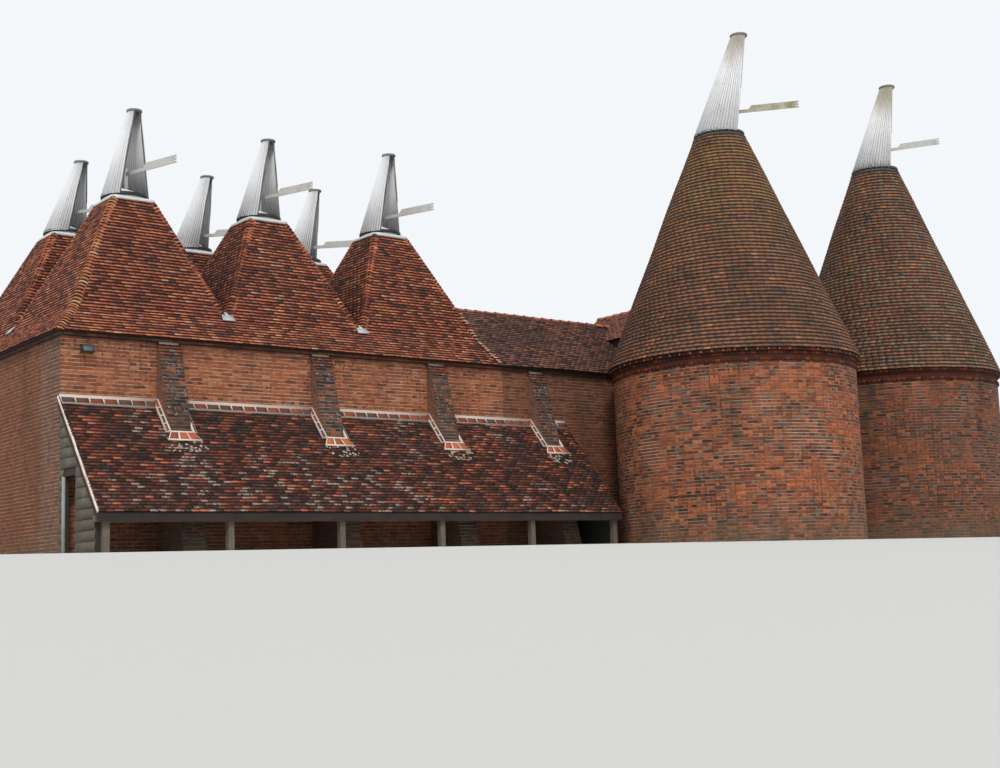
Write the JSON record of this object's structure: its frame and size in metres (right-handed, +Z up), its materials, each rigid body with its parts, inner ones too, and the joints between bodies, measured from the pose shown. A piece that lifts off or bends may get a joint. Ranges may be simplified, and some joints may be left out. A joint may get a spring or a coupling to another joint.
{
  "type": "oast house",
  "caption": "Brick oast house for drying hops: a block of square kilns, a link range, round kilns with cone roofs, a lean-to, and a turning boarded cowl on every kiln.",
  "frame": {"origin": "ground level, where the centre lines of the front wall and the left wall cross", "axes": "+X along the front wall to the right, +Y from the front to the back, +Z up"},
  "size_m": [25.345, 13.48, 12.86],
  "materials": {
    "kiln_brick": "fired clay brick in pale lime mortar",
    "range_brick": "fired clay brick in pale lime mortar",
    "round_brick": "orange-red clay brick in pale lime mortar",
    "buttress_brick": "blackened clay brick",
    "kiln_tiles": "red-brown clay plain tiles",
    "range_tiles": "dark brown clay plain tiles",
    "cone_tiles": "brown clay tiles with olive lichen",
    "lean_to_tiles": "dark clay tiles with pale lichen",
    "timber": "weathered grey timber",
    "weatherboard": "grey-green painted weatherboard",
    "lead": "dull weathered lead sheet",
    "painted_boards": "white painted boards",
    "lamp_metal": "dark painted metal casing with a grey glass front"
  },
  "bodies": {
    "house": {"front_wall": "kiln_brick", "left_wall": "kiln_brick", "back_wall": "kiln_brick", "party_wall": "kiln_brick", "range_front_wall": "range_brick", "range_back_wall": "range_brick", "range_end_wall": "range_brick", "round_near_wall": "round_brick", "round_near_corbel": "round_brick", "round_far_wall": "round_brick", "round_far_corbel": "round_brick", "buttresses": "buttress_brick", "kiln_eaves": "kiln_tiles", "kiln_roof_front_left": "kiln_tiles", "kiln_roof_front_middle": "kiln_tiles", "kiln_roof_front_right": "kiln_tiles", "kiln_roof_back_left": "kiln_tiles", "kiln_roof_back_middle": "kiln_tiles", "kiln_roof_back_right": "kiln_tiles", "range_roof": "range_tiles", "cross_roof": "range_tiles", "round_near_roof": "cone_tiles", "round_far_roof": "cone_tiles", "lean_to_roof": "lean_to_tiles", "middle_beam": "timber", "valley_beams": "timber", "range_valley_beam": "timber", "lean_to_frame": "timber", "cowl_bearers": "timber", "lean_to_left_end": "weatherboard", "lean_to_right_end": "weatherboard", "lead_kerbs": "lead", "wall_light": "lamp_metal"},
    "cowl_front_left": {"cowl_front_left": "painted_boards", "vane_front_left": "painted_boards"},
    "cowl_front_middle": {"cowl_front_middle": "painted_boards", "vane_front_middle": "painted_boards"},
    "cowl_front_right": {"cowl_front_right": "painted_boards", "vane_front_right": "painted_boards"},
    "cowl_back_left": {"cowl_back_left": "painted_boards", "vane_back_left": "painted_boards"},
    "cowl_back_middle": {"cowl_back_middle": "painted_boards", "vane_back_middle": "painted_boards"},
    "cowl_back_right": {"cowl_back_right": "painted_boards", "vane_back_right": "painted_boards"},
    "cowl_round_near": {"cowl_round_near": "painted_boards", "vane_round_near": "painted_boards"},
    "cowl_round_far": {"cowl_round_far": "painted_boards", "vane_round_far": "painted_boards"}
  },
  "joints": [
    {"name": "turn_front_left", "type": "hinge", "parent": "house", "child": "cowl_front_left", "pos_m": [2, 1.875, 7.855], "axis": [0, 0, 1], "continuous": true},
    {"name": "turn_front_middle", "type": "hinge", "parent": "house", "child": "cowl_front_middle", "pos_m": [5.245, 1.875, 7.81], "axis": [0, 0, 1], "continuous": true},
    {"name": "turn_front_right", "type": "hinge", "parent": "house", "child": "cowl_front_right", "pos_m": [8.575, 1.875, 7.87], "axis": [0, 0, 1], "continuous": true},
    {"name": "turn_back_left", "type": "hinge", "parent": "house", "child": "cowl_back_left", "pos_m": [1.99, 5.215, 7.785], "axis": [0, 0, 1], "continuous": true},
    {"name": "turn_back_middle", "type": "hinge", "parent": "house", "child": "cowl_back_middle", "pos_m": [5.185, 5.215, 7.755], "axis": [0, 0, 1], "continuous": true},
    {"name": "turn_back_right", "type": "hinge", "parent": "house", "child": "cowl_back_right", "pos_m": [8.385, 5.315, 7.86], "axis": [0, 0, 1], "continuous": true},
    {"name": "turn_round_near", "type": "hinge", "parent": "house", "child": "cowl_round_near", "pos_m": [15.495, -3.075, 10.185], "axis": [0, 0, 1], "continuous": true},
    {"name": "turn_round_far", "type": "hinge", "parent": "house", "child": "cowl_round_far", "pos_m": [21.98, -2.92, 10.305], "axis": [0, 0, 1], "continuous": true}
  ]
}
